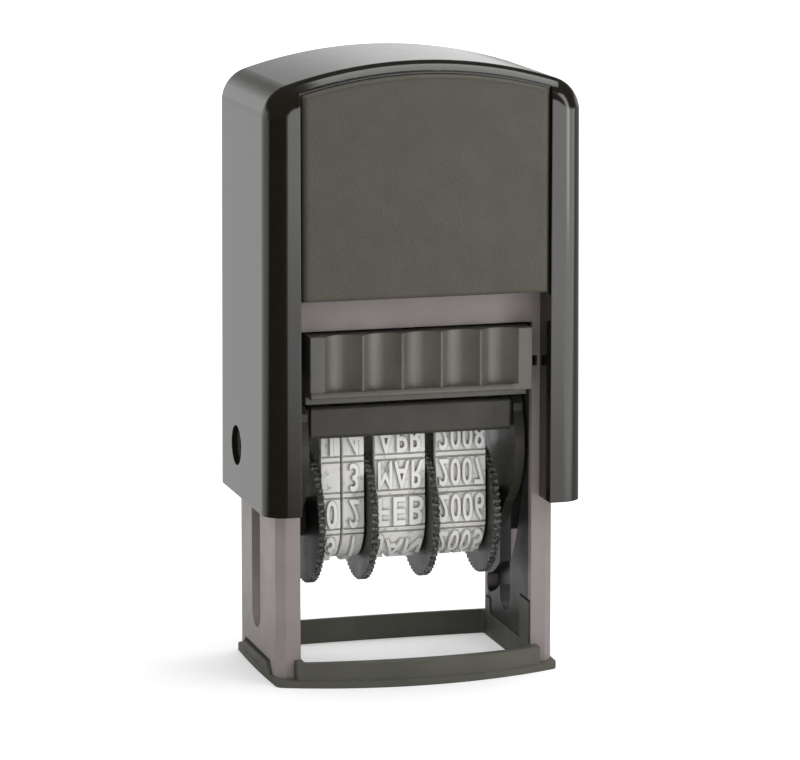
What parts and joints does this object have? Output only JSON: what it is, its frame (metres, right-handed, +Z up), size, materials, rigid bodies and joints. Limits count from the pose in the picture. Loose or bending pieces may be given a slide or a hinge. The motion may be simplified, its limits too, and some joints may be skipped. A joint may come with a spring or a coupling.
{
  "type": "self-inking date stamp",
  "caption": "Desk date stamp whose housing slides down over an inner frame and turns a carrier of thumb-wheel rubber bands over from the ink pad to the paper.",
  "frame": {"origin": "on the resting surface, under the middle of the housing", "axes": "+X across the front to the right, +Y to the back, +Z up along the housing's travel"},
  "size_m": [0.043, 0.0272, 0.0821],
  "materials": {
    "housing_gloss": "glossy moulded black",
    "panel_matte": "fine grained matte black-brown",
    "pin_black": "satin black",
    "frame_grey": "satin moulded warm grey",
    "base_black": "satin moulded black",
    "spring_steel": "drawn wire",
    "carrier_black": "satin moulded black",
    "axle_steel": "turned rod",
    "band_rubber": "matte off-white rubber",
    "wheel_black": "satin moulded black, toothed",
    "cartridge_black": "semi-gloss moulded black",
    "ink_felt": "inked felt"
  },
  "bodies": {
    "frame": {"inner_frame": "frame_grey", "base_frame": "base_black", "return_spring": "spring_steel"},
    "housing": {"cap_shell": "housing_gloss", "front_panel": "panel_matte", "back_panel": "panel_matte", "pivot_pin_left": "pin_black", "pivot_pin_right": "pin_black"},
    "carrier": {"date_carrier": "carrier_black", "wheel_axle": "axle_steel", "day_tens_band": "band_rubber", "day_units_band": "band_rubber", "month_band": "band_rubber", "year_band": "band_rubber"},
    "day_tens_dial": {"day_tens_wheel": "wheel_black"},
    "day_units_dial": {"day_units_wheel": "wheel_black"},
    "month_dial": {"month_wheel": "wheel_black"},
    "year_dial": {"year_wheel": "wheel_black"},
    "cartridge": {"pad_tray": "cartridge_black", "ink_pad": "ink_felt"}
  },
  "joints": [
    {"name": "housing_press", "type": "slide", "parent": "frame", "child": "housing", "axis": [0, 0, -1], "range_m": [0, 0.0225], "stiffness_N_per_m": 500, "springref_m": -0.012, "deforming": ["return_spring"]},
    {"name": "carrier_turn", "type": "hinge", "parent": "housing", "child": "carrier", "pos_m": [0, 0.003, 0.03015], "axis": [1, 0, 0], "range_deg": [0, 180]},
    {"name": "day_tens_turn", "type": "hinge", "parent": "carrier", "child": "day_tens_dial", "pos_m": [-0.01202, 0.003, 0.02], "axis": [1, 0, 0], "continuous": true},
    {"name": "day_units_turn", "type": "hinge", "parent": "carrier", "child": "day_units_dial", "pos_m": [-0.00477, 0.003, 0.02], "axis": [1, 0, 0], "continuous": true},
    {"name": "month_turn", "type": "hinge", "parent": "carrier", "child": "month_dial", "pos_m": [0.00363, 0.003, 0.02], "axis": [1, 0, 0], "continuous": true},
    {"name": "year_turn", "type": "hinge", "parent": "carrier", "child": "year_dial", "pos_m": [0.01202, 0.003, 0.02], "axis": [1, 0, 0], "continuous": true},
    {"name": "cartridge_slide", "type": "slide", "parent": "frame", "child": "cartridge", "axis": [0, 1, 0], "range_m": [-0.026, 0]}
  ],
  "couplings": [
    {"joint": "carrier_turn", "follows": "housing_press", "rad_per_m": 139.63}
  ]
}
